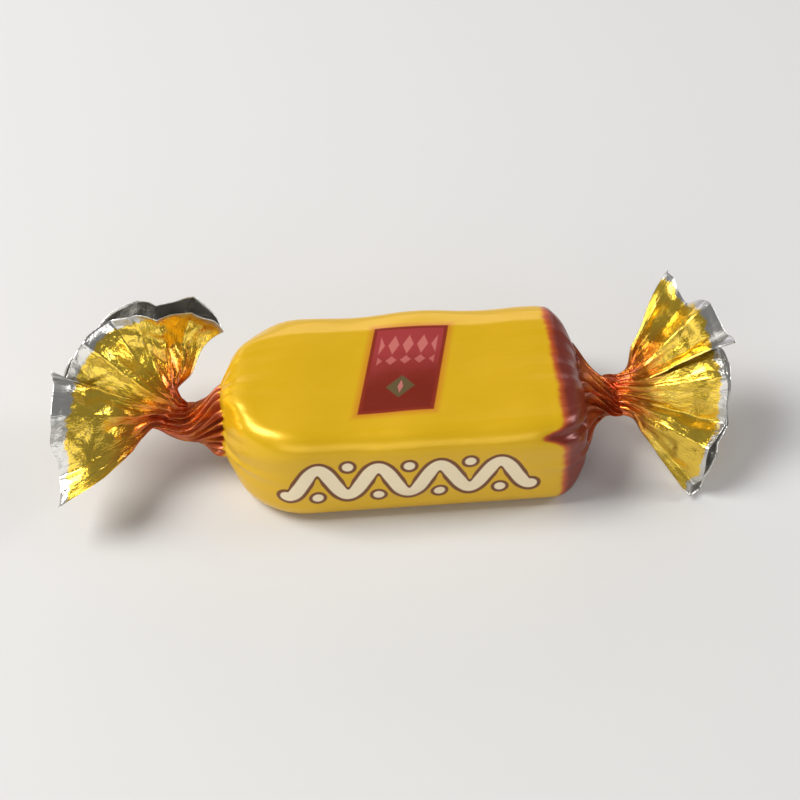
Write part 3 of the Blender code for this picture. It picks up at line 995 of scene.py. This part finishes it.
class FilmFinish(Finish):
    """A finish with places on the film in millimetres, and the uneven fields that its inks share."""

    def __init__(self, name):
        super().__init__(name)
        places = self.node("ShaderNodeUVMap", {"uv_map": MAP_NAME})
        parts = self.node("ShaderNodeSeparateXYZ", None, {"Vector": self.wire(places, "UV")})
        self.along = (self.wire(parts, "Y") - 0.5) * (MAP_LENGTH / MM)
        self.around = (self.wire(parts, "X") - 0.25) * (FILM_ROUND / MM)
        self.streaks = self.noise(1.4, 0.14, 3.0) - 0.5
        self.patches = self.noise(0.5, 0.5, 2.0) - 0.5
        self.lobes = self.noise(0.13, 0.02, 1.0, layer=3.0) - 0.5

    def noise(self, round_fineness, along_fineness, detail, roughness=0.5, layer=0.0):
        """Noise from 0 to 1 over the film, with its fineness per millimetre round it and along it."""
        x, y = self.around * round_fineness, self.along * along_fineness
        place = self.wire(self.node("ShaderNodeCombineXYZ", None, {"X": x, "Y": y, "Z": layer}), "Vector")
        settings = {"Vector": place, "Scale": 1.0, "Detail": detail, "Roughness": roughness}
        return self.wire(self.node("ShaderNodeTexNoise", None, settings), "Fac")

    def ink(self, colour, distance, edge, printed):
        """A printed colour laid over another wherever a distance is less than its edge."""
        return self.colour_mix(distance.fall(edge, edge + INK_EDGE), colour, printed)


def band_layers(film, colour, block_end):
    """Maroon at both ends, through red and orange to the yellow before and behind it, in ragged streaks.

    An ink begins at a place over a width, and ends at a place over a fade. The maroon is painted darker on
    the block's ends, as painted shade, and lighter past the block with orange patches, as painted
    highlights. At the right a notch of it runs in along the front edge, as a bell curve.
    """
    corner = (film.around - NOTCH_ROUND) / NOTCH_WIDTH
    notch = (0 - corner * corner).exponent() * film.along.rise(0.0, 5.0)
    inward = abs(film.along + PRINT_SHIFT) + film.streaks * 0.5 + film.patches * 0.6 + notch * NOTCH_LENGTH
    outward = abs(film.along) + film.streaks * 5.0 + film.patches * 1.6 + film.lobes * 6.0
    outward = outward + film.along.rise(0.0, 5.0) * 0.8
    # Orange patches in the twist's maroon are painted highlights, where the crinkled foil catches the
    # light.
    twist_highlight_noise = film.noise(0.9, 0.5, 3.0, roughness=0.6, layer=7.0)
    maroon_painted_highlights = film.colour_mix(twist_highlight_noise.rise(0.46, 0.62) * 0.8, MAROON_PAINTED_LIGHT, ORANGE)
    # The maroon is painted darker on the block's ends, as painted shade, and lighter with painted
    # highlights at the twist.
    twist = film.colour_mix(abs(film.along).rise(block_end - 1.0, block_end + 3.0), MAROON_PAINTED_SHADE, maroon_painted_highlights)
    for start, width, end, fade, ink in (
        (-0.45, 0.6, 2.2, 4.4, ORANGE),
        (-0.25, 0.55, 0.2, 3.0, RED),
        (-0.05, 0.9, -2.0, 3.0, twist),
    ):
        begun = inward.rise(BAND_START + start, BAND_START + start + width)
        lasting = outward.fall(BAND_END + end, BAND_END + end + fade)
        colour = film.colour_mix(begun * lasting, colour, ink)
    return colour


def label_layers(film, colour):
    """A red panel on top, sheared a little: darker edge, pink lozenges behind and a green one in front.

    A lozenge is where the shares of its half length and of its half width add up to less than 1.
    """
    x = film.along - LABEL_ALONG + LABEL_SHEAR * film.around
    y = film.around - LABEL_ROUND
    outside = (abs(x) - LABEL_HALF_LENGTH).at_least(abs(y) - LABEL_HALF_WIDTH)
    colour = film.colour_mix(outside.fall(0.0, LABEL_HALO) * 0.7, colour, ORANGE)
    colour = film.colour_mix(outside.fall(-0.06, 0.1), colour, LABEL_EDGE)
    fade = (y + film.patches * 3.0).rise(-3.2, 2.4)
    colour = film.ink(colour, outside, -LABEL_BORDER, film.colour_mix(fade, LABEL_PALE, LABEL_RED))
    cell = (x + LOZENGE_SPACING / 2) % LOZENGE_SPACING - LOZENGE_SPACING / 2
    for middle, half_width, strength in LOZENGE_ROWS:
        lozenge = abs(cell) / LOZENGE_HALF_LENGTH + abs(y - middle) / half_width
        shown = abs(x).fall(LOZENGE_ROW_END, LOZENGE_ROW_END + 0.15)
        colour = film.colour_mix(lozenge.fall(0.8, 1.05) * shown * strength, colour, LABEL_PINK)
    below = abs(y - GREEN_LOZENGE_ROUND)
    green = abs(x) / GREEN_LOZENGE_HALF + below / GREEN_LOZENGE_HALF
    colour = film.colour_mix(green.fall(0.85, 1.0) * 0.9, colour, LABEL_GREEN)
    core = abs(x) / (GREEN_LOZENGE_HALF * 0.2) + below / (GREEN_LOZENGE_HALF * 0.6)
    return film.colour_mix(core.fall(0.8, 1.0) * 0.8, colour, LABEL_PINK)


def wave_layers(film, colour):
    """A bold cream wave with a brown outline on the front, and cream beads in its hollows.

    The distance to the wave is taken to its foot, one Newton step from the point straight above or below.
    The wave's bend counts in that step on the outer side of each turn alone, where it shortens the step.
    """
    y = film.around - WAVE_ROUND
    turns = TURN / WAVE_LENGTH
    wave = WAVE_HEIGHT * (film.along * turns).cosine()
    slope = -WAVE_HEIGHT * turns * (film.along * turns).sine()
    outside = ((y - wave) * wave * (turns * turns)).at_least(0.0)
    foot = film.along + (y - wave) * slope / (1 + slope * slope + outside)
    end = WAVE_LENGTH * WAVE_COUNT / 2
    foot = foot.at_most(end).at_least(-end)
    apart = length_of(film.along - foot, y - WAVE_HEIGHT * (foot * turns).cosine())
    apart = apart.at_least(abs(y - wave) - WAVE_NEAR)
    colour = film.ink(colour, apart, WAVE_OUTLINE, BROWN)
    colour = film.ink(colour, apart, WAVE_HALF_WIDTH, CREAM)
    shown = abs(film.along).fall(BEAD_ROW_END * WAVE_LENGTH, (BEAD_ROW_END + 0.02) * WAVE_LENGTH)
    for side, start in ((-1.0, 0.5), (1.0, 0.0)):
        x = (film.along + WAVE_LENGTH * start) % WAVE_LENGTH - WAVE_LENGTH / 2
        bead = length_of(x, y - BEAD_ASIDE * side)
        for edge, printed in ((BEAD_OUTLINE, BROWN), (BEAD_RADIUS, CREAM)):
            colour = film.colour_mix(bead.fall(edge, edge + INK_EDGE) * shown, colour, printed)
    return colour


def leaf_layers(film, colour):
    """A row of slanted dark brown leaves on the back, with a dot above and below between each two.

    A leaf is what two crossed circles share, so its sides are arcs that meet in a point at both ends.
    """
    full = FILM_ROUND / MM
    back = (film.around + full * 0.75) % full - full / 2
    slanted = film.along + LEAF_SLANT * back
    end = LEAF_SPACING * LEAF_COUNT / 2
    x = slanted % LEAF_SPACING - LEAF_SPACING / 2
    leaf = length_of(abs(x) + LEAF_RADIUS - LEAF_HALF_WIDTH, back)
    shown = leaf.fall(LEAF_RADIUS - 0.05, LEAF_RADIUS + 0.05) * abs(slanted).fall(end - 0.1, end)
    colour = film.colour_mix(shown, colour, BROWN_DARK)
    dot = length_of(LEAF_SPACING / 2 - abs(x), abs(back) - DOT_ASIDE)
    shown = dot.fall(DOT_RADIUS, DOT_RADIUS + 0.1) * abs(slanted).fall(end - 0.6, end - 0.5)
    return film.colour_mix(shown, colour, BROWN)


def printed_film(block_end, rim):
    """Metallised film: yellow ground, print on the block, maroon at the twists, silver cut ends."""
    film = FilmFinish("printed_film")
    foil = abs(film.along).rise(block_end - 1.0, BAND_END)
    ground = abs(film.along + PRINT_SHIFT).rise(BAND_END, BAND_END + 4)
    colour = film.colour_mix(ground, YELLOW, YELLOW_FAN)
    colour = band_layers(film, colour, block_end)
    colour = label_layers(film, colour)
    colour = wave_layers(film, colour)
    colour = leaf_layers(film, colour)
    bare = abs(film.along) + film.streaks * 1.6 + film.lobes * 1.4
    silver = bare.rise(*(rim - before for before in SILVER_EDGE))
    colour = film.colour_mix(silver, colour, SILVER)
    smudge = film.noise(0.22, 0.22, 4.0, roughness=0.6) - 0.5
    fine = film.noise(2.2, 1.1, 3.0, roughness=0.6)
    grain = film.noise(0.9, 0.5, 2.0)
    relief = fine * (BLOCK_CRINKLE + foil * FOIL_CRINKLE) + grain * GRAIN
    bump = film.node("ShaderNodeBump", None, {"Strength": 1.0, "Distance": MM, "Height": relief})
    roughness = BLOCK_ROUGHNESS + smudge * SMUDGE_ROUGHNESS + foil * FOIL_ROUGHNESS
    sockets = film.shader.inputs
    film.put(sockets["Base Color"], colour)
    film.put(sockets["Metallic"], BLOCK_METALLIC + foil * FOIL_METALLIC + silver * SILVER_METALLIC)
    film.put(sockets["Roughness"], roughness + silver * SILVER_ROUGHNESS)
    film.put(sockets["Coat Weight"], BLOCK_COAT + foil * FOIL_COAT)
    film.put(sockets["Coat Roughness"], COAT_ROUGHNESS)
    film.put(sockets["Normal"], film.wire(bump, "Normal"))
    return film.material


def pale_floor():
    """A matt off-white floor."""
    finish = Finish("pale_floor")
    finish.put(finish.shader.inputs["Base Color"], FLOOR_WHITE)
    finish.put(finish.shader.inputs["Roughness"], 0.75)
    half = FLOOR_HALF_SIZE
    corners = [(-half, -half, 0), (half, -half, 0), (half, half, 0), (-half, half, 0)]
    mesh = bpy.data.meshes.new("floor")
    mesh.from_pydata(corners, [], [(0, 1, 2, 3)])
    mesh.materials.append(finish.material)
    floor = bpy.data.objects.new("floor", mesh)
    bpy.context.scene.collection.objects.link(floor)


def place_turned(name, data, place):
    """An object for a light or a camera at a place, turned to the camera's aim."""
    thing = bpy.data.objects.new(name, data)
    thing.location = place
    thing.rotation_euler = (Vector(CAMERA_AIM) - Vector(place)).to_track_quat("-Z", "Y").to_euler()
    bpy.context.scene.collection.objects.link(thing)
    return thing


def studio():
    """Soft boxes and a plain grey surround."""
    for name, (place, size, power, colour) in LIGHTS.items():
        lamp = bpy.data.lights.new(name, "AREA")
        lamp.shape = "RECTANGLE"
        lamp.size, lamp.size_y = size
        lamp.energy = power
        lamp.color = colour
        place_turned(name, lamp, place)
    world = bpy.data.worlds.new("surround")
    world.use_nodes = True
    background = world.node_tree.nodes["Background"]
    background.inputs["Color"].default_value = SURROUND_COLOUR
    background.inputs["Strength"].default_value = SURROUND_STRENGTH
    bpy.context.scene.world = world
    bpy.context.scene.view_settings.view_transform = "Standard"


def photo_camera():
    """A camera at the photograph's angle, as far off as its lens needs to take in the view's width."""
    lens = bpy.data.cameras.new("photo_camera")
    lens.lens = CAMERA_LENS
    lens.sensor_width = CAMERA_SENSOR
    lens.clip_start = CAMERA_NEAR
    distance = VIEW_WIDTH * CAMERA_LENS / CAMERA_SENSOR
    level = distance * math.cos(CAMERA_ELEVATION)
    offset = (level * math.sin(CAMERA_AZIMUTH), -level * math.cos(CAMERA_AZIMUTH),
              distance * math.sin(CAMERA_ELEVATION))
    place = tuple(aim + away for aim, away in zip(CAMERA_AIM, offset))
    bpy.context.scene.camera = place_turned("photo_camera", lens, place)


def main():
    points, faces, corner_places, block_end, rim = wrapper_surface()
    finish = printed_film(block_end / MM, rim / MM)
    film = add_mesh("film_wrapper", points, faces, corner_places, finish)
    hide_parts("wrapped_toffee")
    pieces = [film]
    pieces += [add_mesh(name, *loose_layer(corner), finish) for name, corner in LOOSE_CORNERS.items()]
    for piece in pieces:
        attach(piece, "root")
    pale_floor()
    studio()
    photo_camera()


main()
